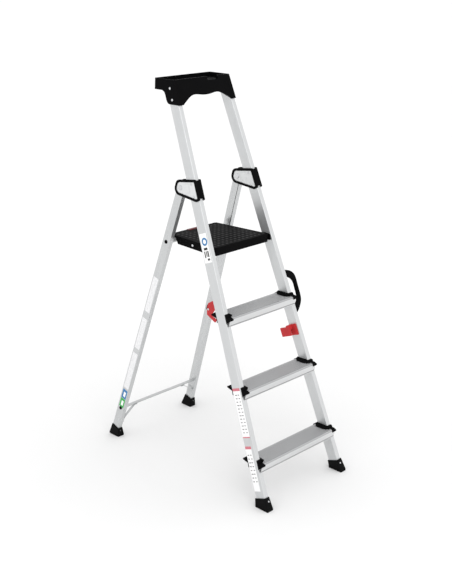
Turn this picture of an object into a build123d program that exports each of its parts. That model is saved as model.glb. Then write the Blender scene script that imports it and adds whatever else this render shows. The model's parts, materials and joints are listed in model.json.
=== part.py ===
from build123d import *
import math
import os

# Platform step ladder: three treads and a platform, standing open on the floor.
# +Z is up, -Y is the climbing side, +X is the climber's right.
# The origin is on the floor, at the middle of the footprint. Millimetres.

# Front frame: the stiles lean back and close in towards the top.
FRONT_LEAN = 20.74
FRONT_TAPER = 2.95
STILE_DEPTH = 43.2
STILE_WIDTH = 19.0
STILE_WALL = 1.7
STILE_CORNER = 2.5
FRONT_HALF_BASE = 210.0
STILE_FRONT_Y = -425.3
STILE_BOTTOM_S = 24.0
STILE_TOP_Z = 1394.4

# Rear frame: two box profiles that swing on the hinge pins.
REAR_LEAN = 18.45
REAR_TAPER = 3.08
LEG_DEPTH = 34.0
LEG_WIDTH = 17.0
LEG_WALL = 2.0
LEG_LIP = 1.6
LEG_SLOT = 2.4
LEG_SLOT_END = 205.0
PIVOT_S = 1156.0
PIVOT_N = 79.0
PIN_RADIUS = 5.0
RUNNING_GAP = 0.06
CROSS_TUBE_DROP = 220.0
CROSSBAR_DROP = 977.0
LEG_END_DROP = 1095.0

# Treads.
TREAD_PITCH = 240.0
FIRST_TREAD_Z = 159.5
TREAD_FRONT = 21.0
TREAD_REAR = 58.0
TREAD_NOSE = 7.0
TREAD_APRON = 32.0
TREAD_LIP_FRONT = 16.5
TREAD_HEEL = 22.0
TREAD_WALL = 2.3
RIB_HEIGHT = 0.9
RIB_PITCH = 6.0
RIB_COUNT = 11
CAP_PLATE = 2.0
CAP_RISE = 9.5
CAP_PAD = 20.0
CAP_SKIN = -0.3
NOSE_INSET = 5.8
NOSE_GRIP = 16.0
NOSE_REACH = 19.0

# Platform.
PLATFORM_Z = 861.0
PLATFORM_FRONT_Y = -97.3
PLATFORM_REAR_Y = 156.0
PLATFORM_HALF_FRONT = 138.5
PLATFORM_HALF_REAR = 117.0
PLATFORM_HEIGHT = 29.0
DECK_THICKNESS = 4.0
SKIRT_THICKNESS = 4.5
PLATFORM_PIVOT_Z = 846.0
PLATFORM_PIN_RADIUS = 4.0
BRACKET_THICKNESS = 4.4
DECK_RIB = 2.5
DECK_RIBS_X = (-84.0, -42.0, 42.0, 84.0)
DECK_RIBS_Y = (-30.0, 45.0, 108.0)

# Tray on top of the stiles.
TRAY_TOP = 1413.5
TRAY_REAR_Y = 204.4
TRAY_FRONT_WALL = 4.2
TRAY_SKIN = 2.6
TRAY_REAR_WALL = 4.0
TRAY_UNDERSIDE = 1375.5
TRAY_RECESS = 15.5
TRAY_FLOOR = 3.2
TRAY_NOTCH = (24.0, 75.0)
EAR_BOTTOM = 1330.6

# Feet: the sole's width and depth, and how far up the leg the socket reaches.
FRONT_FOOT = (29.3, 60.0)
FRONT_FOOT_S = 47.0
REAR_FOOT = (30.7, 55.3)
REAR_FOOT_DROP = 1069.0
SOLE = 6.5

lean = math.radians(FRONT_LEAN)
rear_lean = math.radians(REAR_LEAN)

# front: x is across, y runs back from the stiles' front faces, z runs up their slope.
front = Location((0, STILE_FRONT_Y, 0)) * Rot(X=-FRONT_LEAN)
# right_stile: the same, with x = 0 on the right stile's outer face and z along that stile.
right_stile = front * Pos(FRONT_HALF_BASE, 0, 0) * Rot(Y=-FRONT_TAPER)


def front_point(n, s):
    """World Y and Z of a point n behind the front faces and s up their slope."""
    y = STILE_FRONT_Y + n * math.cos(lean) + s * math.sin(lean)
    return y, s * math.cos(lean) - n * math.sin(lean)


def stile_front_y(z):
    """World Y of the stiles' front faces at height z."""
    return STILE_FRONT_Y + z * math.tan(lean)


def stile_outer_x(z):
    """Half the width over the stiles at height z."""
    return FRONT_HALF_BASE - z / math.cos(lean) * math.tan(math.radians(FRONT_TAPER))


pivot_y, pivot_z = front_point(PIVOT_N, PIVOT_S)
pivot_outer_x = FRONT_HALF_BASE - PIVOT_S * math.tan(math.radians(FRONT_TAPER))
leg_outer_x = pivot_outer_x - (STILE_WIDTH - LEG_WIDTH) / 2
# right_leg: x = 0 on the right leg's outer face, y back from its middle, z up from the hinge pin.
rear = Location((0, pivot_y, pivot_z)) * Rot(X=REAR_LEAN)
right_leg = rear * Pos(leg_outer_x, 0, 0) * Rot(Y=-REAR_TAPER)


def span_box(x, y, z):
    """A box between two limits on each axis."""
    size = [limits[1] - limits[0] for limits in (x, y, z)]
    middle = [(limits[0] + limits[1]) / 2 for limits in (x, y, z)]
    return Pos(*middle) * Box(*size)


def side_prism(points, x0, x1):
    """An outline in the YZ plane, made solid between two X values."""
    face = Plane.YZ * make_face(Polyline(*points, close=True))
    return Pos(x0, 0, 0) * extrude(face, x1 - x0)


def rod(x0, x1, y, z, radius):
    """A round bar along X."""
    return Pos((x0 + x1) / 2, y, z) * Rot(Y=90) * Cylinder(radius, abs(x1 - x0))


def dome(x, y, z, radius, height, outward):
    """A rivet or screw head on a face that looks along outward (+1 or -1 in X)."""
    disc = rod(x, x + outward * height, y, z, radius)
    rim = [e for e in disc.edges() if abs(e.center().X - x - outward * height) < 1e-3]
    return fillet(rim, height * 0.7)


def front_rivet(x, y, z, depth):
    """A rivet with its head at y, looking forward, and its shank running back to depth."""
    head = dome(y, 0, 0, 3.2, 1.9, -1)
    shank = rod(y - 0.1, depth, 0, 0, 2.0)
    return Pos(x, 0, z) * Rot(Z=90) * (head + shank)


def stile_envelope(gap=0.0):
    """The space a right-hand stile fills, in its own frame."""
    return span_box((-STILE_WIDTH - gap, gap), (-gap, STILE_DEPTH + gap), (-60, 1700))


# ---------------------------------------------------------------- front stiles


def stile():
    """Closed profile, cut square at the foot and level under the tray's floor."""
    outer = Rectangle(STILE_WIDTH, STILE_DEPTH)
    outer = fillet(outer.vertices(), STILE_CORNER)
    inner = Rectangle(STILE_WIDTH - 2 * STILE_WALL, STILE_DEPTH - 2 * STILE_WALL)
    inner = fillet(inner.vertices(), STILE_CORNER - STILE_WALL)
    length = STILE_TOP_Z / math.cos(lean) + STILE_DEPTH - STILE_BOTTOM_S
    tube = extrude(outer - inner, length)
    tube = right_stile * Pos(-STILE_WIDTH / 2, STILE_DEPTH / 2, STILE_BOTTOM_S) * tube
    return tube - span_box((0, 400), (-400, 400), (STILE_TOP_Z, STILE_TOP_Z + 200))


# ---------------------------------------------------------------- treads and caps


def tread_outline(wall=0.0):
    """The tread's skin in the YZ plane, measured from its top and the stile's front face."""
    radius = TREAD_NOSE - wall
    bottom = -TREAD_APRON - (4.0 if wall else 0.0)
    rear_bottom = -TREAD_HEEL - (14.0 if wall else 0.0)
    rear = TREAD_REAR - wall
    nose = CenterArc((TREAD_NOSE - TREAD_FRONT, -TREAD_NOSE), radius, 90, 90)
    lip = (wall - TREAD_LIP_FRONT, bottom)
    rest = Polyline(nose @ 1, lip, (rear, rear_bottom), (rear, -wall), nose @ 0)
    return make_face(nose + rest)


def tread_section():
    """Open underneath, with a lip, a heel, one web and a ribbed top; a fine groove runs along the front."""
    skin = tread_outline() - tread_outline(TREAD_WALL)
    lip = Pos(-TREAD_LIP_FRONT + 5.0, -TREAD_APRON + 1.2) * Rectangle(9.0, 2.4)
    heel = Pos(TREAD_REAR - 5.0, -21.0) * Rectangle(10.0, 2.0)
    web = Pos(TREAD_REAR / 3, -9.0) * Rectangle(2.0, 16.0)
    ribs = Sketch()
    for i in range(RIB_COUNT):
        ribs += Pos(-TREAD_FRONT + TREAD_NOSE + 3 + RIB_PITCH * i, 0) * Rectangle(2.6, 2 * RIB_HEIGHT)
    groove = Pos(-TREAD_LIP_FRONT - 1.0, -TREAD_APRON + 4.4) * Rectangle(3.2, 2.6)
    return skin + lip + heel + web + ribs - groove


def across(section, y, z, half):
    """A YZ section moved to (y, z) and made solid from -half to +half in X."""
    face = Plane.YZ * (Pos(y, z) * section)
    return Pos(-half, 0, 0) * extrude(face, 2 * half)


def tread(z):
    """The tread fits between the caps, and its nose runs on in front of the stiles."""
    y = stile_front_y(z)
    bar = across(tread_section(), y, z, stile_outer_x(z) + 5)
    keep = right_stile * span_box((-400, -STILE_WIDTH - CAP_PLATE), (-60, 120), (-60, 1700))
    keep += right_stile * span_box((-400, -NOSE_INSET), (-60, -1.5), (-60, 1700))
    bar = bar & keep
    return bar & mirror(keep, Plane.YZ)


def tread_cap(z):
    """The moulded end piece that closes the tread and wraps the stile, but for its outer face."""
    y = stile_front_y(z)
    outer = stile_outer_x(z)
    closed = -STILE_WIDTH - CAP_PLATE

    def slab(x0, x1, n0=-80):
        """The part of the ladder's side between two depths into the stile, back from n0."""
        return right_stile * span_box((x0, x1), (n0, 120), (-60, 1700))

    def block(outline, zone):
        return side_prism([(y + a, z + b) for a, b in outline], 0, 260) & zone

    behind = [(-3.5, CAP_RISE), (STILE_DEPTH + 3.5, CAP_RISE), (TREAD_REAR + 11, -4.5),
              (TREAD_REAR + 9, -8.0), (STILE_DEPTH, -13.5), (STILE_DEPTH - 4.0, -28.0),
              (-8.0, -26.0), (-8.5, -19.5), (-6.5, 2.5)]
    ahead = [(0, 2.0), (-14.0, 2.0), (-24.0, -3.0), (-24.0, -8.0), (-8.5, -19.5), (0, -26.0)]
    # The front block widens from the top of the nose downwards.
    slope = [(outer - NOSE_GRIP, z + 3), (outer - NOSE_REACH - 1, z - 6), (outer - NOSE_REACH - 1, z + 3)]
    above = Pos(0, y + 1, 0) * extrude(Plane.XZ * make_face(Polyline(*slope, close=True)), 60)
    nose = block(ahead, slab(-NOSE_REACH, CAP_SKIN)) - above
    cap = block(behind, slab(closed, CAP_SKIN)) + nose
    inner = outer - STILE_WIDTH / math.cos(math.radians(FRONT_TAPER))
    plan = [(6, TREAD_REAR - 6), (-8, TREAD_REAR - 6), (-CAP_PAD, 40), (-CAP_PAD, 12),
            (-14, -2), (-5, -8), (6, -8)]
    pad = extrude(make_face(Polyline(*plan, close=True)), CAP_RISE)
    fall = math.degrees(math.atan2(CAP_RISE - 1.0, CAP_PAD))
    over = Pos(-CAP_PAD, 0, 1.6) * Rot(Y=-fall) * span_box((-20, 60), (-60, 90), (0, 40))
    pad = pad - over - span_box((0, 20), (-60, 90), (-1, 40))
    cap += Pos(inner, y, z) * pad
    # Room for the tread, whose end stays closed by the plate beside the stile.
    filled = across(tread_outline(), y, z, 260) & slab(-400, -NOSE_INSET)
    ribs = across(tread_section(), y, z, 260) & slab(-400, closed)
    end_plate = slab(closed, -STILE_WIDTH, -1.5)
    cap = cap - (filled - end_plate) - ribs
    return cap - (right_stile * stile_envelope())


# ---------------------------------------------------------------- feet


def flared_foot(sole, collar, first_groove):
    """A sole on the floor, drawn up into a socket square to the leg, with four tread grooves."""
    shell = loft([Pos(0, 0, SOLE - 0.5) * sole, collar])
    shell += extrude(sole, SOLE)
    for i in range(4):
        y = first_groove + 13 * i
        shell -= span_box((0, 300), (y - 1.2, y + 1.2), (-1, 2.0))
    return shell


def front_foot():
    width, depth = FRONT_FOOT
    sole = Pos(FRONT_HALF_BASE + 5.1 - width / 2, STILE_FRONT_Y - 5.8 + depth / 2) * Rectangle(width, depth)
    sole = fillet(sole.vertices(), 3.0)
    collar = Rectangle(STILE_WIDTH + 6, STILE_DEPTH + 6)
    collar = fillet(collar.vertices(), 3.0)
    collar = right_stile * Pos(-STILE_WIDTH / 2, STILE_DEPTH / 2, FRONT_FOOT_S) * collar
    shell = flared_foot(sole, collar, STILE_FRONT_Y + 4)
    return shell - right_stile * span_box((-STILE_WIDTH, 0), (0, STILE_DEPTH), (STILE_BOTTOM_S, 120))


def rear_foot():
    width, depth = REAR_FOOT
    floor_x = leg_outer_x + pivot_z / math.cos(rear_lean) * math.tan(math.radians(REAR_TAPER))
    floor_y = pivot_y + pivot_z * math.tan(rear_lean) - LEG_DEPTH / 2 / math.cos(rear_lean)
    sole = Pos(floor_x + 2.6 - width / 2, floor_y - 14.8 + depth / 2) * Rectangle(width, depth)
    sole = fillet(sole.vertices(), 3.0)
    collar = Rectangle(LEG_WIDTH + 6, LEG_DEPTH + 6)
    collar = fillet(collar.vertices(), 3.0)
    collar = right_leg * Pos(-LEG_WIDTH / 2, 0, -REAR_FOOT_DROP) * collar
    shell = flared_foot(sole, collar, floor_y - 6)
    half = LEG_DEPTH / 2
    return shell - right_leg * span_box((-LEG_WIDTH, 0), (-half, half), (-LEG_END_DROP, -1000))


def front_foot_rivet():
    return right_stile * front_rivet(-12.0, -4.2, FRONT_FOOT_S - 14.0, STILE_WALL + 1.5)


def rear_foot_rivet():
    face = LEG_DEPTH / 2
    return right_leg * front_rivet(-9.0, -face - 4.4, -REAR_FOOT_DROP - 11.0, -face + LEG_WALL + 1.5)


# ---------------------------------------------------------------- hinges

SIDE_THICKNESS = 4.0
PLATE_THICKNESS = 2.4
HINGE_FRONT = 5.0
HINGE_TRIM = 9.0
HINGE_REAR_ROUND = 22.0
HINGE_OUTLINE = [(-HINGE_FRONT, 1094), (-HINGE_FRONT, 1166), (88, 1187), (111, 1158), (103, 1137),
                 (14, 1092)]
FIXING_S = (1111.5, 1155.0)


def hinge_face(inset=0.0):
    face = make_face(Polyline(*HINGE_OUTLINE, close=True))
    rear_corners = [v for v in face.vertices() if v.X > 60]
    face = fillet(rear_corners, HINGE_REAR_ROUND)
    front_corners = [v for v in face.vertices() if v.X < 20]
    face = fillet(front_corners, 3.0)
    if inset:
        face = offset(face, -inset, kind=Kind.INTERSECTION).face()
    return Plane.YZ * face


def hinge_bracket():
    """Black U-shaped bracket round the stile's front, with a window in each side."""
    width = STILE_WIDTH + 2 * SIDE_THICKNESS
    body = Pos(-STILE_WIDTH - SIDE_THICKNESS, 0, 0) * extrude(hinge_face(), width)
    body -= span_box((-STILE_WIDTH, 0), (0, 200), (1000, 1300))
    window = Pos(-60, 0, 0) * extrude(hinge_face(HINGE_TRIM), 120)
    body -= window & span_box((-60, 60), (2, 200), (1000, 1300))
    # The front wall sits a little lower than the two side rims.
    for s in (1163, 1060):
        body -= span_box((-STILE_WIDTH + 1, -1), (-20, 0), (s, s + 40))
    return right_stile * body


def hinge_plate(x0, x1):
    """Metal plate in a window, with a raised field between its two creases."""
    plate = Pos(x0, 0, 0) * extrude(hinge_face(HINGE_TRIM), x1 - x0)
    return plate & span_box((-60, 60), (2, 200), (1000, 1300))


def hinge_plates():
    outer = hinge_plate(0, PLATE_THICKNESS)
    inner = hinge_plate(-STILE_WIDTH - PLATE_THICKNESS, -STILE_WIDTH)
    field = [(36, 1128), (60, 1137), (66, 1166), (36, 1160)]
    for x0, x1 in ((PLATE_THICKNESS - 0.01, PLATE_THICKNESS + 0.8),
                   (-STILE_WIDTH - PLATE_THICKNESS - 0.8, -STILE_WIDTH - PLATE_THICKNESS + 0.01)):
        boss = side_prism(field, x0, x1)
        if x0 > 0:
            outer += boss
        else:
            inner += boss
    return Compound(children=[right_stile * outer, right_stile * inner])


def hinge_pin():
    """Level pin with a riveted head outside each plate."""
    heads = dome(PLATE_THICKNESS, PIVOT_N, PIVOT_S, 9.0, 2.4, 1)
    heads += dome(-STILE_WIDTH - PLATE_THICKNESS, PIVOT_N, PIVOT_S, 9.0, 2.4, -1)
    inner = pivot_outer_x - STILE_WIDTH - PLATE_THICKNESS - 0.8
    shank = rod(inner, pivot_outer_x + PLATE_THICKNESS + 0.8, pivot_y, pivot_z, PIN_RADIUS)
    return right_stile * heads + shank


def hinge_rivets():
    rivets = []
    for s in FIXING_S:
        body = rod(-STILE_WIDTH - PLATE_THICKNESS - 0.1, PLATE_THICKNESS + 0.1, STILE_DEPTH / 2, s, 2.5)
        body += dome(PLATE_THICKNESS, STILE_DEPTH / 2, s, 4.2, 1.8, 1)
        body += dome(-STILE_WIDTH - PLATE_THICKNESS, STILE_DEPTH / 2, s, 4.2, 1.8, -1)
        rivets.append(right_stile * body)
    return rivets


# ---------------------------------------------------------------- rear frame

CROSS_TUBE_RADIUS = 9.0
CROSS_TUBE_BORE = 7.4
CROSSBAR_RADIUS = 5.5
BOLT_RADIUS = 3.0
BOLT_HEAD = 6.8


def outer_wall_zone():
    """The right leg's outer wall and everything outside it."""
    return right_leg * span_box((-LEG_WALL, 30), (-60, 60), (-1200, 60))


def rear_leg():
    """Closed profile, slotted near the top of its inner face, with a round end about the hinge pin."""
    half = LEG_DEPTH / 2
    hollow = half - LEG_WALL
    length = (-LEG_END_DROP, 40)
    tube = span_box((-LEG_WIDTH, 0), (-half, half), length)
    tube -= span_box((-LEG_WIDTH + LEG_LIP, -LEG_WALL), (-hollow, hollow), length)
    tube -= span_box((-LEG_WIDTH - 1, -LEG_WIDTH + LEG_LIP + 1), (-hollow, -hollow + LEG_SLOT),
                     (-LEG_SLOT_END, 40))
    keep = span_box((-60, 60), (-60, 60), (-2000, 0)) + rod(-60, 60, 0, 0, half)
    tube = right_leg * (tube & keep)
    tube -= Pos(0, pivot_y, pivot_z) * rod(0, 300, 0, 0, PIN_RADIUS + RUNNING_GAP)
    for drop, radius in ((CROSS_TUBE_DROP, CROSS_TUBE_RADIUS), (CROSSBAR_DROP, CROSSBAR_RADIUS)):
        tube -= right_leg * rod(-10, 10, 0, -drop, BOLT_RADIUS)
        y, z = rear_drop(drop)
        tube -= rod(0, 300, y, z, radius) - outer_wall_zone()
    return tube


def leg_bush():
    """Plastic bush that carries the leg on the pin."""
    half = LEG_DEPTH / 2 - LEG_WALL
    bush = span_box((-LEG_WIDTH + LEG_LIP, -LEG_WALL), (-half, half), (-14, 40))
    bush = right_leg * (bush & rod(-60, 60, 0, 0, half))
    return bush - Pos(0, pivot_y, pivot_z) * rod(0, 300, 0, 0, PIN_RADIUS + RUNNING_GAP)


def rear_drop(drop):
    """World Y and Z on the legs' middle line, a distance below the hinge pin."""
    return pivot_y + drop * math.sin(rear_lean), pivot_z - drop * math.cos(rear_lean)


def leg_inner_web_x(drop):
    """World X of the inner side of the right leg's outer wall at that distance."""
    return leg_outer_x + drop * math.tan(math.radians(REAR_TAPER)) - LEG_WALL


def cross_bar(drop, radius, bore):
    """A tube from one leg's outer wall to the other's, with a bore for its end bolts."""
    y, z = rear_drop(drop)
    reach = leg_inner_web_x(drop)
    tube = rod(-reach - 2, reach + 2, y, z, radius) - rod(-reach - 5, reach + 5, y, z, bore)
    beyond = outer_wall_zone()
    return tube - beyond - mirror(beyond, Plane.YZ)


def end_bolt(drop, plug):
    """Black domed bolt through the outer wall, with its plug inside the bar's end."""
    y, z = rear_drop(drop)
    head = dome(0, 0, -drop, BOLT_HEAD, 2.4, 1)
    body = right_leg * (rod(-LEG_WALL - 1, 0.1, 0, -drop, BOLT_RADIUS) + head)
    inner = leg_inner_web_x(drop)
    filler = rod(inner - 22, inner + 2, y, z, plug)
    filler -= outer_wall_zone()
    return body + filler


BRACE_INSET = 66.0
BRACE_FALL = 41.0


def brace():
    """Flat strut from under the crossbar down to a heel on the leg's inner edge."""
    y, z = rear_drop(CROSSBAR_DROP)
    x = leg_inner_web_x(CROSSBAR_DROP)
    low = CROSSBAR_DROP + (CROSSBAR_RADIUS + BRACE_FALL) / math.cos(rear_lean)
    bar_end = (x - BRACE_INSET, z - CROSSBAR_RADIUS - 1.2)
    leg_end = (leg_inner_web_x(low) + LEG_WALL - LEG_WIDTH + 1.0, z - CROSSBAR_RADIUS - BRACE_FALL)
    run = math.hypot(leg_end[0] - bar_end[0], leg_end[1] - bar_end[1])
    angle = math.degrees(math.atan2(bar_end[1] - leg_end[1], leg_end[0] - bar_end[0]))
    strip = Rot(Y=angle) * span_box((-4, run), (-5, 5), (-1.2, 1.2))
    tab = span_box((-14, 2), (-5, 5), (-1.2, 1.2))
    strip = Pos(bar_end[0], y, bar_end[1]) * (strip + tab)
    heel = right_leg * span_box((-LEG_WIDTH - 2.2, -LEG_WIDTH), (-17, 9), (-low - 16, -low + 16))
    strip -= right_leg * span_box((-LEG_WIDTH, 30), (-60, 60), (-1200, 0))
    return strip + heel


# ---------------------------------------------------------------- platform

platform_pivot_y = stile_front_y(PLATFORM_PIVOT_Z) + STILE_DEPTH / 2 / math.cos(lean)
tube_y, tube_z = rear_drop(CROSS_TUBE_DROP)


def platform_half(y):
    """Half the platform's width at world Y."""
    share = (y - PLATFORM_FRONT_Y) / (PLATFORM_REAR_Y - PLATFORM_FRONT_Y)
    return PLATFORM_HALF_FRONT + share * (PLATFORM_HALF_REAR - PLATFORM_HALF_FRONT)


def platform_plan(inset):
    y0, y1 = PLATFORM_FRONT_Y + inset, PLATFORM_REAR_Y - inset
    x0, x1 = platform_half(y0) - inset, platform_half(y1) - inset
    face = make_face(Polyline((-x0, y0), (x0, y0), (x1, y1), (-x1, y1), close=True))
    return fillet(face.vertices(), max(12.0 - inset, 2.0))


LEVER_HALF = 35.0
LEVER_Y = 146.5
LEVER_Z = 849.0
LEVER_PIN = 2.0
THUMB_TOP = PLATFORM_Z + 0.8


def platform_deck():
    """Moulded deck: a ribbed underside inside a skirt, notched over the rear cross tube."""
    bottom = PLATFORM_Z - PLATFORM_HEIGHT
    body = Pos(0, 0, bottom) * extrude(platform_plan(0), PLATFORM_HEIGHT)
    top_rim = [e for e in body.edges() if abs(e.center().Z - PLATFORM_Z) < 0.01]
    body = fillet(top_rim, 3.0)
    hollow = PLATFORM_HEIGHT + 1 - DECK_THICKNESS
    body -= Pos(0, 0, bottom - 1) * extrude(platform_plan(SKIRT_THICKNESS), hollow)
    rib_z = (bottom + 11, PLATFORM_Z - DECK_THICKNESS + 0.5)
    rib = DECK_RIB / 2
    for x in DECK_RIBS_X:
        body += span_box((x - rib, x + rib), (PLATFORM_FRONT_Y + 3, DECK_RIBS_Y[-1]), rib_z)
    for y in DECK_RIBS_Y:
        half = platform_half(y) - 3
        body += span_box((-half, half), (y - rib, y + rib), rib_z)
    notch = [(tube_y + 9.8, tube_z + 2), (tube_y + 7.0, tube_z + 9.2), (tube_y - 7.0, tube_z + 9.2),
             (tube_y - 9.8, tube_z + 2), (tube_y - 19.5, bottom - 1), (tube_y + 9.8, bottom - 1)]
    body -= side_prism(notch, -200, 200)
    x = platform_half(platform_pivot_y)
    for side in (1, -1):
        body += rod(side * (x - 12), side * (x - 1.0), platform_pivot_y, PLATFORM_PIVOT_Z, 9.0)
        body -= rod(side * (x - 20), side * (x + 20), platform_pivot_y, PLATFORM_PIVOT_Z,
                    PLATFORM_PIN_RADIUS + RUNNING_GAP)
    # Opening for the lever, with a lug on each side for its pin.
    body -= span_box((-LEVER_HALF - 1, LEVER_HALF + 1), (LEVER_Y - 10, 170), (bottom - 2, PLATFORM_Z + 2))
    lug = span_box((LEVER_HALF + 1, LEVER_HALF + 7), (tube_y + 10, PLATFORM_REAR_Y - 1),
                   (bottom + 6, PLATFORM_Z - 1))
    body += lug
    body += mirror(lug, Plane.YZ)
    body -= rod(-LEVER_HALF - 8, LEVER_HALF + 8, LEVER_Y, LEVER_Z, LEVER_PIN)
    return body


def platform_bracket():
    """Black block on the stile's inner face that carries the platform's pin."""
    y, z = platform_pivot_y, PLATFORM_PIVOT_Z
    outline = [(y - 19, z - 9), (y - 16, z + 12), (y + 16, z + 14), (y + 22, z + 4), (y + 19, z - 12)]
    side = fillet(make_face(Polyline(*outline, close=True)).vertices(), 4.0)
    block = Pos(100, 0, 0) * extrude(Plane.YZ * side, 100)
    face = -STILE_WIDTH
    block = block & (right_stile * span_box((face - BRACKET_THICKNESS, face), (-60, 120), (-60, 1700)))
    return block - rod(100, 260, y, z, PLATFORM_PIN_RADIUS)


def platform_pin():
    x = platform_half(platform_pivot_y)
    inner = stile_outer_x(PLATFORM_PIVOT_Z) - STILE_WIDTH
    pin = rod(x - 13.5, inner + 3.0, platform_pivot_y, PLATFORM_PIVOT_Z, PLATFORM_PIN_RADIUS)
    return pin + dome(x - 13.3, platform_pivot_y, PLATFORM_PIVOT_Z, 7.0, 2.0, -1)


def platform_rivet():
    """Light rivet in the side skirt, where a stiffening bar is fixed inside."""
    y, z = 24.5, PLATFORM_Z - 16.0
    x = platform_half(y)
    return dome(x - 0.2, y, z, 4.6, 1.6, 1) + rod(x - 7.5, x, y, z, 2.6)


# ---------------------------------------------------------------- release lever


def release_lever():
    """Red lever: a thumb plate in the deck's rear edge and a nose behind the cross tube."""
    y, z = LEVER_Y, LEVER_Z
    outline = [(y - 5.0, THUMB_TOP), (y + 9.0, THUMB_TOP), (y + 9.0, PLATFORM_Z - 5),
               (y + 4.6, PLATFORM_Z - 8), (y + 4.6, z - 16.0), (y - 9.6, z - 20.0), (y - 10.6, z - 14.5),
               (y - 3.6, z - 11.5), (y - 5.0, z - 4.0)]
    half = LEVER_HALF - 0.6
    lever = side_prism(outline, -half, half)
    # Below the thumb plate only a narrow stem and nose remain in the middle.
    lower = span_box((14, LEVER_HALF + 1), (y - 30, y + 30), (z - 40, z - 5.5))
    lever -= lower
    lever -= mirror(lower, Plane.YZ)
    lever -= rod(-LEVER_HALF, LEVER_HALF, y, z, LEVER_PIN + RUNNING_GAP)
    top_edges = [e for e in lever.edges() if abs(e.center().Z - THUMB_TOP) < 0.01]
    return fillet(top_edges, 1.0)


def lever_pin():
    return rod(-LEVER_HALF - 6.5, LEVER_HALF + 6.5, LEVER_Y, LEVER_Z, LEVER_PIN)


# ---------------------------------------------------------------- transport lock

HOOK_DROP = 598.9
HOOK_FORWARD = 10.5
HOOK_PIN = 3.0
HOOK_INSET = 20.8
HOOK_THICKNESS = 5.2
CATCH_BOTTOM = 538.0
CATCH_TOP = 580.0


def transport_hook():
    """Red swinging hook beside the right rear leg: a thumb lobe above the pin and a long tail."""
    thumb = [(9, 24), (-10, 46), (-20, 41), (-32, 17)]
    tail = [(-25, -3), (-18, -19), (-50, -20), (-49, -36), (2, -28), (8, -4)]
    face = make_face(Polyline(*thumb, *tail, close=True))
    face = fillet(face.vertices(), 3.0)
    hook = Pos(-HOOK_INSET - HOOK_THICKNESS, 0, 0) * extrude(Plane.YZ * face, HOOK_THICKNESS)
    near = [e for e in hook.edges() if abs(e.center().X + HOOK_INSET + HOOK_THICKNESS) < 1e-3]
    hook = fillet(near, 1.2)
    hook -= rod(-60, 5, 0, 0, HOOK_PIN + RUNNING_GAP)
    return right_leg * Pos(0, -HOOK_FORWARD, -HOOK_DROP) * hook


def hook_mount():
    """Plastic saddle on the leg's inner face, under the hook."""
    reach = (-HOOK_INSET + 0.4, -LEG_WIDTH)
    saddle = span_box(reach, (-LEG_DEPTH / 2, 6), (-HOOK_DROP - 12, -HOOK_DROP + 12))
    saddle = fillet(saddle.edges().filter_by(Axis.X), 4.0)
    return right_leg * (saddle - rod(-60, 5, -HOOK_FORWARD, -HOOK_DROP, HOOK_PIN))


def hook_pin():
    """Pin through the leg's inner wall, riveted over inside."""
    tip = -HOOK_INSET - HOOK_THICKNESS - 0.4
    inside = -LEG_WIDTH + LEG_LIP
    pin = rod(tip - 0.1, inside + 0.1, -HOOK_FORWARD, -HOOK_DROP, HOOK_PIN)
    pin += dome(tip, -HOOK_FORWARD, -HOOK_DROP, 4.6, 2.0, -1)
    pin += dome(inside, -HOOK_FORWARD, -HOOK_DROP, 4.4, 1.6, 1)
    return right_leg * pin


def transport_catch():
    """Red keeper on the right stile's inner face: the hook's tail swings up under its bridge."""
    face = -STILE_WIDTH
    base = span_box((face - 1, face), (6, 40), (CATCH_BOTTOM, CATCH_TOP))
    base += span_box((face - 3, face), (6, 16.5), (CATCH_BOTTOM, CATCH_TOP))
    base += span_box((face - 3, face), (6, 40), (CATCH_TOP - 17, CATCH_TOP))
    bridge = span_box((face - 21, face), (26, 40), (CATCH_TOP - 17, CATCH_TOP))
    plate = span_box((face - 21, face - 15.5), (26, 71), (CATCH_BOTTOM + 3, CATCH_TOP - 5))
    keeper = base + bridge + plate
    corners = [e for e in keeper.edges().filter_by(Axis.X) if e.center().Y > 70 or e.center().Y < 7]
    return right_stile * fillet(corners, 2.5)


# ---------------------------------------------------------------- carrying handle


HANDLE_MIDDLE = 17.0
HANDLE_WIDTH = 15.0
HANDLE_PADS = ((612, 664, 654), (734, 782, 744))
PAD_THICKNESS = 3.0


def carrying_handle():
    """D-shaped grip that stands out from the right stile's outer face."""
    outer = Spline((0, 784), (14, 778), (34, 770), (51, 754), (55, 718), (54, 679), (50, 654), (36, 634),
                   (14, 616), (0, 610))
    inner = Spline((0, 754), (14, 751), (27, 745), (40.5, 728), (41.5, 698), (40, 674), (26, 651),
                   (14, 645), (0, 642))
    face = make_face(outer + Line(outer @ 0, inner @ 0) + inner + Line(inner @ 1, outer @ 1))
    grip = Pos(0, HANDLE_MIDDLE - HANDLE_WIDTH / 2, 0) * extrude(Plane.XZ * face, -HANDLE_WIDTH)
    rounded = [e for e in grip.edges() if e.geom_type == GeomType.BSPLINE]
    grip = fillet(rounded, 4.0)
    for low, high, _ in HANDLE_PADS:
        pad = span_box((0, PAD_THICKNESS), (HANDLE_MIDDLE - 10, HANDLE_MIDDLE + 10), (low, high))
        grip += fillet(pad.edges().filter_by(Axis.X), 5.0)
    return right_stile * grip


def handle_screws():
    """One screw through each pad, inside the grip's opening."""
    screws = []
    for _, _, s in HANDLE_PADS:
        body = rod(-STILE_WALL, PAD_THICKNESS + 0.1, HANDLE_MIDDLE, s, 2.6)
        screws.append(right_stile * (body + dome(PAD_THICKNESS, HANDLE_MIDDLE, s, 5.0, 2.2, 1)))
    return screws


# ---------------------------------------------------------------- tray


def tray_half(z):
    """Half the tray's width at height z: its sides follow the stiles."""
    return stile_outer_x(z) + TRAY_SKIN


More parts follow.
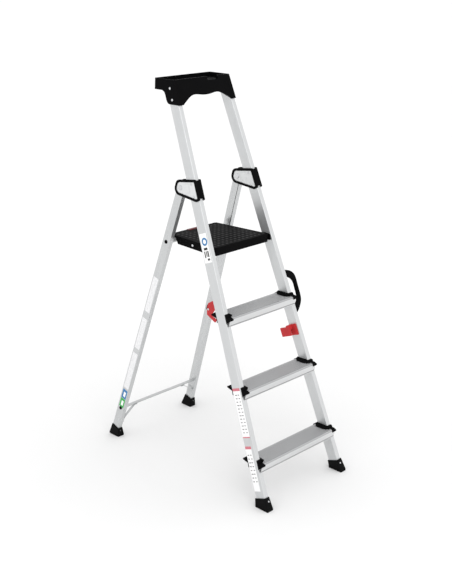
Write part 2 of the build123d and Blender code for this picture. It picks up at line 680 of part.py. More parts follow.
def tray_wedge(inset, z0, z1):
    """The space between the tray's two sides, from z0 to z1."""
    low, high = tray_half(z0) - inset, tray_half(z1) - inset
    face = make_face(Polyline((-low, z0), (low, z0), (high, z1), (-high, z1), close=True))
    return Pos(0, 400, 0) * extrude(Plane.XZ * face, 800)


def round_rear(body, radius):
    """Round the two upright corners at the back."""
    rear = body.bounding_box().max.Y
    corners = [e for e in body.edges() if e.center().Y > rear - 0.01 and abs(e.tangent_at(0.5).Z) > 0.9]
    return fillet(corners, radius)


def tray_front_y(z):
    return stile_front_y(z) - TRAY_FRONT_WALL / math.cos(lean)


def tray_shell():
    """The tray's outside: leaning front, sides with a tongue down each stile, upright back."""
    front_low = (tray_front_y(EAR_BOTTOM), EAR_BOTTOM)
    front_high = (tray_front_y(TRAY_TOP), TRAY_TOP)
    back = stile_front_y(EAR_BOTTOM) + STILE_DEPTH
    tongue = Spline((back + 1.0, EAR_BOTTOM), (back + 12.5, EAR_BOTTOM + 7), (back + 22.5, 1359.5),
                    (back + 41.0, TRAY_UNDERSIDE))
    outline = Polyline(tongue @ 0, front_low, front_high, (TRAY_REAR_Y, TRAY_TOP),
                       (TRAY_REAR_Y, TRAY_UNDERSIDE), tongue @ 1)
    side = Plane.YZ * make_face(outline + tongue)
    body = Pos(-200, 0, 0) * extrude(side, 400)
    return round_rear(body & tray_wedge(0, EAR_BOTTOM - 1, TRAY_TOP + 1), 9.0)


def apron_gap():
    """The scalloped opening between the ears, seen from the front."""
    edge = [(-117, EAR_BOTTOM - 2), (-113, EAR_BOTTOM + 2), (-98, 1342), (-78, 1353.5), (-54, 1359.5),
            (-24, 1356.5), (24, 1356.5), (54, 1359.5), (78, 1353.5), (98, 1342), (113, EAR_BOTTOM + 2),
            (117, EAR_BOTTOM - 2)]
    scallop = Spline(*edge)
    face = make_face(scallop + Line(scallop @ 1, scallop @ 0))
    return Pos(0, 300, 0) * extrude(Plane.XZ * face, 600)


def top_tray():
    floor = TRAY_TOP - TRAY_RECESS
    underside = floor - TRAY_FLOOR
    body = tray_shell() - apron_gap()
    # Hollow underneath, from the stiles' front faces to the rear wall.
    rear = TRAY_REAR_Y - TRAY_REAR_WALL
    low = EAR_BOTTOM - 10
    hollow = [(stile_front_y(underside), underside), (rear, underside), (rear, low),
              (stile_front_y(low), low)]
    under = side_prism(hollow, -200, 200) & tray_wedge(TRAY_SKIN, EAR_BOTTOM - 20, underside)
    body -= round_rear(under, 5.0)
    # Recess on top, with upright walls.
    recess_front = stile_front_y(TRAY_TOP) + 3.0
    recess_rear = rear - 0.5
    half = tray_half(TRAY_TOP) - 4.0
    recess = span_box((-half, half), (recess_front, recess_rear), (floor, TRAY_TOP + 2))
    body -= fillet(recess.edges().filter_by(Axis.Z), 4.0)
    # Notch in the front rim, and the rim scooped out behind it.
    body -= span_box(TRAY_NOTCH, (60, recess_front + 9), (TRAY_TOP - 12, TRAY_TOP + 5))
    body -= span_box(TRAY_NOTCH, (tray_front_y(TRAY_TOP) + 2.6, recess_front + 9), (floor, TRAY_TOP + 5))
    post = right_stile * stile_envelope() & span_box((0, 300), (-500, 500), (0, STILE_TOP_Z))
    return body - post - mirror(post, Plane.YZ)


TRAY_RIVETS = ((21.5, 1490.0), (22.5, 1450.0))


def tray_rivets():
    """Two rivets through each tongue and stile wall."""
    rivets = []
    for n, s in TRAY_RIVETS:
        body = rod(-STILE_WALL - 1, TRAY_SKIN + 0.5, n, s, 2.5)
        body += dome(TRAY_SKIN + 0.3, n, s, 4.4, 1.4, 1)
        rivets.append(right_stile * body)
    return rivets


# ---------------------------------------------------------------- assembly

nodes = {}


def add_pair(name, solid):
    """The right-hand piece, and its mirror image for the left."""
    nodes[name + "_right"] = solid
    nodes[name + "_left"] = mirror(solid, Plane.YZ)


def add_group(name, solids):
    """The right-hand pieces and their mirror images, in one node."""
    nodes[name] = Compound(children=solids + [mirror(solid, Plane.YZ) for solid in solids])


def seat(holder, *guests):
    """Cut each guest's own shape out of the piece that holds it."""
    for guest in guests:
        for solid in nodes[guest].solids():
            nodes[holder] -= solid


add_pair("front_stile", stile())
for index in range(3):
    z = FIRST_TREAD_Z + TREAD_PITCH * index
    nodes[f"tread_{index + 1}"] = tread(z)
    add_pair(f"tread_{index + 1}_cap", tread_cap(z))
add_pair("front_foot", front_foot())
add_pair("rear_foot", rear_foot())
add_group("front_foot_rivets", [front_foot_rivet()])
add_group("rear_foot_rivets", [rear_foot_rivet()])
add_pair("hinge_bracket", hinge_bracket())
add_pair("hinge_plates", hinge_plates())
add_pair("hinge_pin", hinge_pin())
add_group("hinge_rivets", hinge_rivets())
add_pair("rear_leg", rear_leg())
add_pair("leg_bush", leg_bush())
nodes["rear_cross_tube"] = cross_bar(CROSS_TUBE_DROP, CROSS_TUBE_RADIUS, CROSS_TUBE_BORE)
nodes["rear_crossbar"] = cross_bar(CROSSBAR_DROP, CROSSBAR_RADIUS, BOLT_RADIUS)
add_group("rear_bolts", [end_bolt(CROSS_TUBE_DROP, CROSS_TUBE_BORE), end_bolt(CROSSBAR_DROP, BOLT_RADIUS)])
add_pair("rear_brace", brace())
nodes["platform_deck"] = platform_deck()
add_pair("platform_bracket", platform_bracket())
add_pair("platform_pin", platform_pin())
add_group("platform_rivets", [platform_rivet()])
nodes["release_lever"] = release_lever()
nodes["lever_pin"] = lever_pin()
nodes["transport_hook"] = transport_hook()
nodes["hook_mount"] = hook_mount()
nodes["hook_pin"] = hook_pin()
nodes["transport_catch"] = transport_catch()
nodes["carrying_handle"] = carrying_handle()
nodes["handle_screws"] = Compound(children=handle_screws())
nodes["top_tray"] = top_tray()
add_group("tray_rivets", tray_rivets())

for side in ("right", "left"):
    seat(f"front_stile_{side}", "hinge_rivets", "tray_rivets", "front_foot_rivets", f"platform_pin_{side}")
    seat(f"front_foot_{side}", "front_foot_rivets")
    seat(f"rear_foot_{side}", "rear_foot_rivets")
    seat(f"rear_leg_{side}", "rear_foot_rivets")
    seat(f"hinge_plates_{side}", "hinge_rivets", f"hinge_pin_{side}")
    seat(f"hinge_bracket_{side}", "hinge_rivets")
    seat(f"rear_brace_{side}", "rear_crossbar")
    for index in range(3):
        seat(f"tread_{index + 1}_cap_{side}", f"tread_{index + 1}")
seat("front_stile_right", "handle_screws")
seat("carrying_handle", "handle_screws")
seat("top_tray", "tray_rivets")
seat("platform_deck", "platform_rivets")
seat("rear_leg_right", "hook_pin")
seat("rear_crossbar", "rear_bolts")
seat("rear_cross_tube", "rear_bolts")

os.makedirs("parts", exist_ok=True)
for name, shape in nodes.items():
    export_step(shape, f"parts/{name}.step")
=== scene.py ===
import json
import math

import bmesh
import bpy
from mathutils import Matrix, Quaternion, Vector


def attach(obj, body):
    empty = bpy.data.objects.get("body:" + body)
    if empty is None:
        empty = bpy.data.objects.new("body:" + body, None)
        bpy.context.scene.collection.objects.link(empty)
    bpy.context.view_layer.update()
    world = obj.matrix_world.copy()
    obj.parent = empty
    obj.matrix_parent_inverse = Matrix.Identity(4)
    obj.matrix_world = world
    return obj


# Platform step ladder: looks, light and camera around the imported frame. Metres.

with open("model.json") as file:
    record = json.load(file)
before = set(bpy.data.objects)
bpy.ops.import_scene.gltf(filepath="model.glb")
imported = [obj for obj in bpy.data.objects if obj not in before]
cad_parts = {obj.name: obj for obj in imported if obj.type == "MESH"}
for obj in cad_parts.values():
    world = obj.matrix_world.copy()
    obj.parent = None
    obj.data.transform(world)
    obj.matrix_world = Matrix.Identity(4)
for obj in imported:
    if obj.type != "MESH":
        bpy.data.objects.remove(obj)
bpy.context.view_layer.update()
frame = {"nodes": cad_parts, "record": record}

# The front stiles lean back and close in; the rear legs lean the other way and close in too.
FRONT_LEAN = math.radians(20.74)
FRONT_TAPER = math.radians(2.95)
REAR_LEAN = math.radians(18.45)
REAR_TAPER = math.radians(3.08)

# At the floor, half the width over the front stiles, and where their front edges stand.
FRONT_HALF_BASE = 0.2100
STILE_FRONT_Y = -0.4253

# The hinge pin, up the stiles' slope from the floor and back from their front faces.
PIVOT_SLOPE = 1.156
PIVOT_DEPTH = 0.079

# At the pin, how far the rear legs' outer faces lie inside the stiles' outer faces.
LEG_INSET = 0.001

PLATFORM_Z = 0.861

# Ribs on the treads' tops and the groove in their fronts, measured from the front and the top.
RIB_PITCH = 0.006
FIRST_RIB = 0.011
CREST_START = RIB_PITCH * 0.2
CREST_END = RIB_PITCH * 0.32
FIRST_TREAD_Z = 0.1595
TREAD_PITCH = 0.240
GROOVE_DROP = 0.0276
GROOVE_HALF = 0.0017

# ---------------------------------------------------------------- material tools


def new_material(name):
    material = bpy.data.materials.new(name)
    material.use_nodes = True
    tree = material.node_tree
    shader = tree.nodes["Principled BSDF"]
    return material, tree, shader


def link(tree, source, target):
    tree.links.new(source, target)


def object_coords(tree, rotation=(0, 0, 0), scale=(1, 1, 1)):
    """Object coordinates turned and stretched: the turn comes first."""
    coords = tree.nodes.new("ShaderNodeTexCoord")
    turn = tree.nodes.new("ShaderNodeMapping")
    turn.inputs["Rotation"].default_value = rotation
    stretch = tree.nodes.new("ShaderNodeMapping")
    stretch.inputs["Scale"].default_value = scale
    link(tree, coords.outputs["Object"], turn.inputs["Vector"])
    link(tree, turn.outputs["Vector"], stretch.inputs["Vector"])
    return stretch.outputs["Vector"]


def noise(tree, vector, scale, detail=3.0, roughness=0.5):
    node = tree.nodes.new("ShaderNodeTexNoise")
    node.inputs["Scale"].default_value = scale
    node.inputs["Detail"].default_value = detail
    node.inputs["Roughness"].default_value = roughness
    link(tree, vector, node.inputs["Vector"])
    return node.outputs["Fac"]


def remap(tree, value, low, high, start=0.3, end=0.7):
    """Maps start..end of a value onto low..high; the defaults suit a noise, which rarely leaves them."""
    node = tree.nodes.new("ShaderNodeMapRange")
    node.inputs["From Min"].default_value = start
    node.inputs["From Max"].default_value = end
    node.inputs["To Min"].default_value = low
    node.inputs["To Max"].default_value = high
    link(tree, value, node.inputs["Value"])
    return node.outputs["Result"]


def mix_colour(tree, factor, first, second):
    node = tree.nodes.new("ShaderNodeMix")
    node.data_type = "RGBA"
    if isinstance(first, tuple):
        node.inputs["A"].default_value = (*first, 1)
    else:
        link(tree, first, node.inputs["A"])
    if isinstance(second, tuple):
        node.inputs["B"].default_value = (*second, 1)
    else:
        link(tree, second, node.inputs["B"])
    link(tree, factor, node.inputs["Factor"])
    return node.outputs["Result"]


def bump(tree, shader, height, strength, distance):
    node = tree.nodes.new("ShaderNodeBump")
    node.inputs["Strength"].default_value = strength
    node.inputs["Distance"].default_value = distance
    link(tree, height, node.inputs["Height"])
    link(tree, node.outputs["Normal"], shader.inputs["Normal"])


# ---------------------------------------------------------------- materials

# Die lines are fine across a profile and drawn out along it; handling marks are broad and soft.
# The relief is a bump's strength and distance. A shade multiplies a colour.
LINE_SCALE = 900.0
LINE_STRETCH = (1.0, 1.0, 0.004)
LINE_RELIEF = (0.18, 0.00008)
MARK_SCALE = 26.0
MARK_STRETCH = (1.0, 1.0, 0.25)
SMUDGE_SHADE = 0.93
SMUDGE_MOST = 0.45

# How far a face looks up where a tread's bright front turns into its top, which is darkened with painted
# shade.
NOSE_START = 0.05
NOSE_END = 0.6
LINE_SHADE = 0.9
# Painted highlight along the crest of each tread rib.
CREST_GLINT = 1.75
FRONT_SHADE = 0.95
# Painted shade in the fine groove along each tread's front.
GROOVE_PAINTED_SHADE = 0.45


def shaded(colour, factor):
    return tuple(c * factor for c in colour)


def die_lines(tree, rotation):
    return noise(tree, object_coords(tree, rotation, LINE_STRETCH), LINE_SCALE, detail=2.0)


def handling_marks(tree, rotation):
    return noise(tree, object_coords(tree, rotation, MARK_STRETCH), MARK_SCALE, detail=5.0, roughness=0.6)


def finish_metal(tree, shader, colour, lines, marks, rough, metal):
    """What the extrusions share once their colour is mixed."""
    link(tree, colour, shader.inputs["Base Color"])
    link(tree, remap(tree, marks, rough[0], rough[1], 0.3, 0.75), shader.inputs["Roughness"])
    shader.inputs["Metallic"].default_value = metal
    bump(tree, shader, lines, *LINE_RELIEF)


def extruded_aluminium(name, rotation, light, dark, rough=(0.38, 0.52), metal=0.6):
    """Satin anodised profile with die lines along its length and faint handling marks."""
    material, tree, shader = new_material(name)
    lines = die_lines(tree, rotation)
    marks = handling_marks(tree, rotation)
    toned = mix_colour(tree, remap(tree, lines, 0.0, 1.0), light, dark)
    smudged = remap(tree, marks, 0.0, SMUDGE_MOST, 0.48, 0.75)
    colour = mix_colour(tree, smudged, toned, shaded(dark, SMUDGE_SHADE))
    finish_metal(tree, shader, colour, lines, marks, rough, metal)
    return material


def upward_share(tree):
    """1 on faces that look up, 0 on upright ones."""
    geometry = tree.nodes.new("ShaderNodeNewGeometry")
    parts = tree.nodes.new("ShaderNodeSeparateXYZ")
    link(tree, geometry.outputs["Normal"], parts.inputs["Vector"])
    return remap(tree, parts.outputs["Z"], 0.0, 1.0, NOSE_START, NOSE_END)


def rib_crests(tree):
    """1 along the crest of each rib, 0 between; each tread's ribs start as far behind the stiles' fronts."""
    across = tree.nodes.new("ShaderNodeVectorMath")
    across.operation = "DOT_PRODUCT"
    across.inputs[1].default_value = (0.0, 1.0, -math.tan(FRONT_LEAN))
    link(tree, object_coords(tree), across.inputs[0])
    shift = tree.nodes.new("ShaderNodeMath")
    shift.operation = "SUBTRACT"
    shift.inputs[1].default_value = STILE_FRONT_Y - FIRST_RIB - RIB_PITCH / 2
    link(tree, across.outputs["Value"], shift.inputs[0])
    wave = tree.nodes.new("ShaderNodeMath")
    wave.operation = "PINGPONG"
    wave.inputs[1].default_value = RIB_PITCH / 2
    link(tree, shift.outputs["Value"], wave.inputs[0])
    return remap(tree, wave.outputs["Value"], 0.0, 1.0, CREST_START, CREST_END)


def front_groove(tree):
    """1 in the fine groove near the bottom of each tread's front, 0 elsewhere."""
    parts = tree.nodes.new("ShaderNodeSeparateXYZ")
    link(tree, object_coords(tree), parts.inputs["Vector"])
    shift = tree.nodes.new("ShaderNodeMath")
    shift.operation = "SUBTRACT"
    shift.inputs[1].default_value = FIRST_TREAD_Z
    link(tree, parts.outputs["Z"], shift.inputs[0])
    height = tree.nodes.new("ShaderNodeMath")
    height.operation = "WRAP"
    height.inputs[1].default_value = TREAD_PITCH / 2
    height.inputs[2].default_value = -TREAD_PITCH / 2
    link(tree, shift.outputs["Value"], height.inputs[0])
    inside = tree.nodes.new("ShaderNodeMath")
    inside.operation = "COMPARE"
    inside.inputs[1].default_value = -GROOVE_DROP
    inside.inputs[2].default_value = GROOVE_HALF
    link(tree, height.outputs["Value"], inside.inputs[0])
    return inside.outputs["Value"]


def tread_aluminium(name, rotation, top, front, rough):
    """Mill-finish extrusion: its ribbed top is darkened with painted shade and carries a painted highlight
    along the rib crests; its front is bright, with a line of painted shade in its groove.
    """
    material, tree, shader = new_material(name)
    lines = die_lines(tree, rotation)
    marks = handling_marks(tree, rotation)
    # The top's colour is painted shade, varied by the die lines.
    painted_shade_top = mix_colour(tree, remap(tree, lines, 0.0, 1.0), top, shaded(top, LINE_SHADE))
    # A painted highlight along the rib crests.
    wear_and_painted_light = mix_colour(tree, rib_crests(tree), painted_shade_top, shaded(top, CREST_GLINT))
    bright = mix_colour(tree, remap(tree, marks, 0.0, 0.5), front, shaded(front, FRONT_SHADE))
    # A line of painted shade in the front's groove.
    grooved = mix_colour(tree, front_groove(tree), bright, shaded(front, GROOVE_PAINTED_SHADE))
    # Faces that look up take the painted shade of the top, upright ones the front.
    colour = mix_colour(tree, upward_share(tree), grooved, wear_and_painted_light)
    finish_metal(tree, shader, colour, lines, marks, rough, 0.5)
    return material


def moulded_plastic(name, light, dark, rough, shine=0.2, grain=1500.0, depth=0.00012):
    """Spark-eroded mould grain, with slow changes of tone and gloss as handling leaves them."""
    material, tree, shader = new_material(name)
    coords = object_coords(tree)
    fine = noise(tree, coords, grain, detail=2.0)
    wear_and_painted_light = noise(tree, coords, scale=18.0, detail=4.0, roughness=0.6)
    colour = mix_colour(tree, remap(tree, wear_and_painted_light, 0.0, 1.0), dark, light)
    link(tree, colour, shader.inputs["Base Color"])
    link(tree, remap(tree, wear_and_painted_light, rough[0], rough[1]), shader.inputs["Roughness"])
    shader.inputs["Specular IOR Level"].default_value = shine
    bump(tree, shader, fine, strength=0.35, distance=depth)
    return material


def zinc_steel(name):
    """Zinc-plated fixings, with a mottled bright finish."""
    material, tree, shader = new_material(name)
    coords = object_coords(tree)
    mottle = noise(tree, coords, scale=420.0, detail=3.0)
    colour = mix_colour(tree, remap(tree, mottle, 0.0, 1.0), (0.72, 0.72, 0.73), (0.56, 0.57, 0.59))
    link(tree, colour, shader.inputs["Base Color"])
    link(tree, remap(tree, mottle, 0.22, 0.36), shader.inputs["Roughness"])
    shader.inputs["Metallic"].default_value = 1.0
    bump(tree, shader, mottle, strength=0.15, distance=0.0001)
    return material


def printed_film(name, light, dark, rough=(0.45, 0.6)):
    """Self-adhesive film: an even print with faint mottling."""
    material, tree, shader = new_material(name)
    mottle = noise(tree, object_coords(tree), scale=160.0, detail=4.0)
    link(tree, mix_colour(tree, remap(tree, mottle, 0.0, 1.0), light, dark), shader.inputs["Base Color"])
    link(tree, remap(tree, mottle, rough[0], rough[1]), shader.inputs["Roughness"])
    shader.inputs["Specular IOR Level"].default_value = 0.2
    return material


# Turns that lay each profile's length along the die lines.
FRONT_TURN = (FRONT_LEAN, 0, 0)
REAR_TURN = (-REAR_LEAN, 0, 0)
CROSS_TURN = (0, math.radians(90), 0)
NO_TURN = (0, 0, 0)

# Each has its lighter tone, its darker tone and, where it isn't the usual one, its range of roughness.
materials = {
    "front": extruded_aluminium(
        "aluminium_front", FRONT_TURN, (0.635, 0.645, 0.650), (0.590, 0.600, 0.606), (0.28, 0.40), 0.7),
    # The rear copy of the profile aluminium is toned a little darker than the front copy: painted shade.
    "rear": extruded_aluminium(
        "aluminium_rear", REAR_TURN, (0.61, 0.62, 0.624), (0.55, 0.56, 0.565), (0.22, 0.34), 0.8),
    # The tread's first tone is its top, darkened with painted shade; the second is its front.
    "tread": tread_aluminium(
        "aluminium_tread", CROSS_TURN, (0.257, 0.259, 0.264), (0.67, 0.675, 0.68), (0.36, 0.5)),
    "bar": extruded_aluminium(
        "aluminium_bar", CROSS_TURN, (0.56, 0.57, 0.572), (0.50, 0.51, 0.514)),
    "hinge": extruded_aluminium(
        "aluminium_plate", NO_TURN, (0.74, 0.75, 0.753), (0.68, 0.69, 0.693)),
    "fixings": zinc_steel("zinc_fixings"),
    "black": moulded_plastic(
        "black_plastic", (0.0036, 0.0036, 0.0039), (0.0020, 0.0020, 0.0023), (0.55, 0.68), 0.03),
    "rubber": moulded_plastic(
        "foot_rubber", (0.0040, 0.0040, 0.0042), (0.0022, 0.0022, 0.0024), (0.5, 0.7), 0.06, 900.0),
    "red": moulded_plastic(
        "red_plastic", (0.56, 0.036, 0.040), (0.47, 0.026, 0.030), (0.34, 0.46)),
    "dark_red": moulded_plastic(
        "lever_plastic", (0.12, 0.006, 0.009), (0.08, 0.004, 0.006), (0.34, 0.46)),
    "grip": moulded_plastic(
        "grip_plastic", (0.030, 0.030, 0.031), (0.021, 0.021, 0.022), (0.55, 0.68), 0.1),
    "white_film": printed_film("white_film", (0.93, 0.93, 0.93), (0.89, 0.89, 0.89)),
    "clear_film": printed_film("clear_film", (0.86, 0.86, 0.87), (0.72, 0.72, 0.73)),
    "red_film": printed_film("red_film", (0.64, 0.21, 0.25), (0.58, 0.17, 0.21)),
    "grey_film": printed_film("grey_film", (0.28, 0.28, 0.28), (0.20, 0.20, 0.20)),
    "dark_film": printed_film("dark_film", (0.05, 0.05, 0.05), (0.03, 0.03, 0.03)),
    "blue_film": printed_film("blue_film", (0.06, 0.22, 0.46), (0.045, 0.18, 0.40)),
    "green_film": printed_film("green_film", (0.08, 0.45, 0.12), (0.06, 0.38, 0.09)),
}

# The record's material slots, all but aluminium_profile, which material_for splits by frame.
SLOT_MATERIALS = {
    "aluminium_tread": "tread",
    "aluminium_bar": "bar",
    "hinge_metal": "hinge",
    "fixings": "fixings",
    "black_plastic": "black",
    "foot_rubber": "rubber",
    "red_plastic": "red",
    "lever_plastic": "dark_red",
}


def material_for(node, slot):
    if slot == "aluminium_profile":
        return materials["front" if node.startswith("front") else "rear"]
    return materials[SLOT_MATERIALS[slot]]


for part in frame["record"]["subparts"]:
    shown = frame["nodes"][part["node"]]
    shown.data.materials.clear()
    shown.data.materials.append(material_for(part["node"], part["material_slot"]))
    for polygon in shown.data.polygons:
        polygon.material_index = 0

# ---------------------------------------------------------------- grip pattern and labels

# The squares' spacing, size and height, how deep they are sunk, and what share of their size is left on top.
GRIP_PITCH = 0.0205
GRIP_SIZE = 0.0100
GRIP_HEIGHT = 0.0006
GRIP_SUNK = 0.0002
GRIP_TOP = 0.86

# The deck's outline, which narrows towards the back, and the plain border inside it.
DECK_FRONT_Y = -0.0973
DECK_REAR_Y = 0.1560
DECK_HALF_FRONT = 0.1385
DECK_HALF_REAR = 0.1170
DECK_MARGIN = 0.0085
FIRST_ROW = 0.004

# The plain patch round the release lever: half its width, and the Y where it starts.
THUMB_PLATE = (0.042, 0.135)


def mesh_piece(name, builder, material):
    mesh = bpy.data.meshes.new(name)
    builder.to_mesh(mesh)
    builder.free()
    mesh.materials.append(materials[material])
    piece = bpy.data.objects.new(name, mesh)
    bpy.context.scene.collection.objects.link(piece)
    return piece


def add_frustum(builder, place, low, high, top=1.0):
    """A block between two corners, whose face on the high Z side is scaled by top."""
    mid_x = (low[0] + high[0]) / 2
    mid_y = (low[1] + high[1]) / 2
    rings = []
    for z, scale in ((low[2], 1.0), (high[2], top)):
        ring = []
        for x, y in ((low[0], low[1]), (high[0], low[1]), (high[0], high[1]), (low[0], high[1])):
            corner = Vector((mid_x + (x - mid_x) * scale, mid_y + (y - mid_y) * scale, z))
            ring.append(builder.verts.new(place @ corner))
        rings.append(ring)
    builder.faces.new(rings[0][::-1])
    builder.faces.new(rings[1])
    for i in range(4):
        j = (i + 1) % 4
        builder.faces.new((rings[0][i], rings[0][j], rings[1][j], rings[1][i]))


def make_grip():
    """Small raised squares on a square grid, all over the platform but for the patch by the lever."""
    builder = bmesh.new()
    reach = DECK_MARGIN + GRIP_SIZE / 2
    y = DECK_FRONT_Y + reach + FIRST_ROW
    while y < DECK_REAR_Y - reach:
        share = (y - DECK_FRONT_Y) / (DECK_REAR_Y - DECK_FRONT_Y)
        half = DECK_HALF_FRONT + share * (DECK_HALF_REAR - DECK_HALF_FRONT) - reach
        count = int(half / GRIP_PITCH)
        for i in range(-count, count + 1):
            x = i * GRIP_PITCH
            if abs(x) < THUMB_PLATE[0] and y > THUMB_PLATE[1] - reach:
                continue
            size = GRIP_SIZE / 2
            low = (x - size, y - size, PLATFORM_Z - GRIP_SUNK)
            high = (x + size, y + size, PLATFORM_Z + GRIP_HEIGHT)
            add_frustum(builder, Matrix.Identity(4), low, high, GRIP_TOP)
        y += GRIP_PITCH
    grip = mesh_piece("platform_grip", builder, "grip")
    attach(grip, "platform")


# A label frame: X runs back across the outer face, Y runs up the slope, Z looks outward.
OUTWARD = Matrix(((0, 0, -1, 0), (1, 0, 0, 0), (0, 1, 0, 0), (0, 0, 0, 1)))


def left_stile_face():
    """The left stile's outer face, with heights measured up the slope from the floor."""
    lean = Matrix.Rotation(-FRONT_LEAN, 4, "X")
    taper = Matrix.Rotation(FRONT_TAPER, 4, "Y")
    return (Matrix.Translation((0, STILE_FRONT_Y, 0)) @ lean @ Matrix.Translation((-FRONT_HALF_BASE, 0, 0))
            @ taper @ OUTWARD)


def left_leg_face():
    """The left rear leg's outer face, with heights measured from the hinge pin."""
    y = STILE_FRONT_Y + PIVOT_DEPTH * math.cos(FRONT_LEAN) + PIVOT_SLOPE * math.sin(FRONT_LEAN)
    z = PIVOT_SLOPE * math.cos(FRONT_LEAN) - PIVOT_DEPTH * math.sin(FRONT_LEAN)
    outer = FRONT_HALF_BASE - PIVOT_SLOPE * math.tan(FRONT_TAPER) - LEG_INSET
    lean = Matrix.Rotation(REAR_LEAN, 4, "X")
    taper = Matrix.Rotation(REAR_TAPER, 4, "Y")
    return Matrix.Translation((0, y, z)) @ lean @ Matrix.Translation((-outer, 0, 0)) @ taper @ OUTWARD


FILM = 0.0002
RING_STEPS = 40


def make_label(name, body, place, patches, material, layer=0):
    """Rectangles of film (across from, across to, up from, up to), one layer over another."""
    builder = bmesh.new()
    for x0, x1, y0, y1 in patches:
        z = layer * FILM
        add_frustum(builder, place, (x0, y0, z), (x1, y1, z + FILM))
    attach(mesh_piece(name, builder, material), body)


def make_ring(name, body, place, centre, radii, material):
    """A printed ring on a label."""
    builder = bmesh.new()
    inner, outer = radii
    rows = []
    for radius, z in ((inner, FILM), (inner, 2 * FILM), (outer, 2 * FILM), (outer, FILM)):
        row = []
        for i in range(RING_STEPS):
            angle = 2 * math.pi * i / RING_STEPS
            x = centre[0] + radius * math.cos(angle)
            y = centre[1] + radius * math.sin(angle)
            row.append(builder.verts.new(place @ Vector((x, y, z))))
        rows.append(row)
    for k in range(4):
        first = rows[k]
        second = rows[(k + 1) % 4]
        for i in range(RING_STEPS):
            j = (i + 1) % RING_STEPS
            builder.faces.new((first[i], second[i], second[j], first[j]))
    bmesh.ops.recalc_face_normals(builder, faces=builder.faces)
    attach(mesh_piece(name, builder, material), body)


# Two columns of dashes: where the left one ends and the right one starts, as shares of the label's
# width, how low and high a dash of each reaches, as shares of a row, and how far rows are shifted.
COLUMN_END = 0.35
COLUMN_START = 0.6
LEFT_DASH = (-0.12, 0.12)
RIGHT_DASH = (-0.16, 0.10)
DASH_SHIFT = 0.0012


def print_rows(x0, x1, y0, y1, count):
    """Short dashes in two columns, standing in for small print."""
    rows = []
    step = (y1 - y0) / count
    for i in range(count):
        y = y0 + (i + 0.5) * step
        shift = DASH_SHIFT * (i % 3 - 1)
        left_end = x0 + COLUMN_END * (x1 - x0) + shift
        right_start = x0 + COLUMN_START * (x1 - x0) - shift
        rows.append((x0 + shift, left_end, y + LEFT_DASH[0] * step, y + LEFT_DASH[1] * step))
        rows.append((right_start, x1, y + RIGHT_DASH[0] * step, y + RIGHT_DASH[1] * step))
    return rows


# Patches of film as make_label takes them, on the stile and then on the rear leg.
SHEETS = [
    (0.004, 0.039, 0.880, 0.983),
    (0.006, 0.041, 0.266, 0.428),
    (0.012, 0.041, 0.072, 0.222),
]
HEADS = [
    (0.006, 0.041, 0.428, 0.438),
    (0.006, 0.041, 0.262, 0.266),
    (0.012, 0.041, 0.222, 0.232),
]
SMALL_PRINT = print_rows(0.012, 0.034, 0.275, 0.420, 12) + print_rows(0.017, 0.037, 0.100, 0.208, 8)
MARKS = [
    (0.012, 0.030, 0.925, 0.933),
    (0.010, 0.016, 0.900, 0.921),
    (0.019, 0.023, 0.902, 0.921),
    (0.027, 0.032, 0.898, 0.921),
    (0.010, 0.021, 0.888, 0.895),
]
RING_CENTRE = (0.0190, 0.954)
RING_RADII = (0.0078, 0.0140)
LEG_STRIPS = [
    (-0.013, 0.013, -0.522, -0.372),
    (-0.013, 0.013, -0.690, -0.552),
    (-0.013, 0.013, -0.880, -0.712),
]
LEG_BLUE = [(-0.013, 0.012, -0.929, -0.889)]
LEG_GREEN = [(-0.013, 0.012, -0.971, -0.931)]
LEG_PANELS = [
    (-0.007, 0.004, -0.921, -0.899),
    (-0.007, 0.004, -0.963, -0.941),
]


def make_labels():
    stile = left_stile_face()
    leg = left_leg_face()
    make_label("label_sheets", "front_frame", stile, SHEETS, "white_film")
    make_label("label_heads", "front_frame", stile, HEADS, "red_film")
    make_label("label_small_print", "front_frame", stile, SMALL_PRINT, "grey_film", 1)
    make_label("label_marks", "front_frame", stile, MARKS, "dark_film", 1)
    make_ring("label_ring", "front_frame", stile, RING_CENTRE, RING_RADII, "blue_film")
    make_label("leg_label_strips", "rear_frame", leg, LEG_STRIPS, "clear_film")
    make_label("leg_label_blue", "rear_frame", leg, LEG_BLUE, "blue_film")
    make_label("leg_label_green", "rear_frame", leg, LEG_GREEN, "green_film")
    make_label("leg_label_panels", "rear_frame", leg, LEG_PANELS, "white_film", 1)


make_grip()
make_labels()

# ---------------------------------------------------------------- floor, light and camera

# The floor is a little darker round the ladder, a painted shadow, and pales between two distances from the
# middle.
FLOOR_HALF = 40.0
FLOOR_FADE = (0.35, 1.5)
FLOOR_PAINTED_SHADOW = (0.83, 0.83, 0.83)
FLOOR_PAINTED_SHADOW_MOTTLE = (0.81, 0.81, 0.81)
FLOOR_FAR = (0.91, 0.91, 0.91)


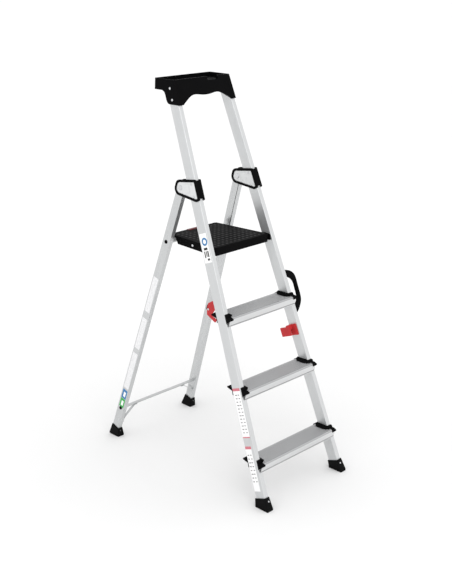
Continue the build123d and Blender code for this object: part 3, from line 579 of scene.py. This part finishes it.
def make_floor():
    mesh = bpy.data.meshes.new("floor")
    builder = bmesh.new()
    bmesh.ops.create_grid(builder, x_segments=8, y_segments=8, size=FLOOR_HALF)
    builder.to_mesh(mesh)
    builder.free()
    floor = bpy.data.objects.new("floor", mesh)
    bpy.context.scene.collection.objects.link(floor)
    material, tree, shader = new_material("floor_paint")
    coords = object_coords(tree)
    distance = tree.nodes.new("ShaderNodeVectorMath")
    distance.operation = "LENGTH"
    link(tree, coords, distance.inputs[0])
    away = remap(tree, distance.outputs["Value"], 0.0, 1.0, *FLOOR_FADE)
    # Round the ladder the floor's colour is a painted shadow, mottled by a slow noise.
    painted_shadow = mix_colour(tree, noise(tree, coords, scale=1.2, detail=2.0), FLOOR_PAINTED_SHADOW, FLOOR_PAINTED_SHADOW_MOTTLE)
    link(tree, mix_colour(tree, away, painted_shadow, FLOOR_FAR), shader.inputs["Base Color"])
    shader.inputs["Roughness"].default_value = 0.8
    shader.inputs["Specular IOR Level"].default_value = 0.1
    mesh.materials.append(material)


WORLD_STRENGTH = 1.14


def make_world():
    world = bpy.data.worlds.new("studio")
    world.use_nodes = True
    background = world.node_tree.nodes["Background"]
    background.inputs["Color"].default_value = (1.0, 1.0, 1.0, 1.0)
    background.inputs["Strength"].default_value = WORLD_STRENGTH
    bpy.context.scene.world = world


KEY_PLACE = Vector((-1.6, -3.6, 3.2))
KEY_TARGET = Vector((0, 0, 0.6))
KEY_SIZE = 2.5
KEY_POWER = 35.0


def make_key_light():
    data = bpy.data.lights.new("key_light", "AREA")
    data.shape = "RECTANGLE"
    data.size = KEY_SIZE
    data.size_y = KEY_SIZE
    data.energy = KEY_POWER
    lamp = bpy.data.objects.new("key_light", data)
    lamp.location = KEY_PLACE
    aim = KEY_TARGET - KEY_PLACE
    lamp.rotation_mode = "QUATERNION"
    lamp.rotation_quaternion = aim.to_track_quat("-Z", "Y")
    bpy.context.scene.collection.objects.link(lamp)


# Solved from the photograph's perspective.
CAMERA_PLACE = (-2.4794, -2.4718, 1.8315)
CAMERA_AZIMUTH = math.radians(-45.26)
CAMERA_PITCH = math.radians(18.687)
CAMERA_LENS = 62.29
CAMERA_ROLL = math.radians(0.1)


def make_camera():
    data = bpy.data.cameras.new("camera")
    data.lens = CAMERA_LENS
    data.sensor_width = 36.0
    camera = bpy.data.objects.new("camera", data)
    camera.location = CAMERA_PLACE
    level = math.cos(CAMERA_PITCH)
    ahead_x = -math.sin(CAMERA_AZIMUTH) * level
    ahead_y = math.cos(CAMERA_AZIMUTH) * level
    ahead = Vector((ahead_x, ahead_y, -math.sin(CAMERA_PITCH)))
    camera.rotation_mode = "QUATERNION"
    upright = ahead.to_track_quat("-Z", "Y")
    camera.rotation_quaternion = upright @ Quaternion((0, 0, 1), CAMERA_ROLL)
    bpy.context.scene.collection.objects.link(camera)
    bpy.context.scene.camera = camera


make_floor()
make_world()
make_key_light()
make_camera()
bpy.context.scene.view_settings.view_transform = "Standard"
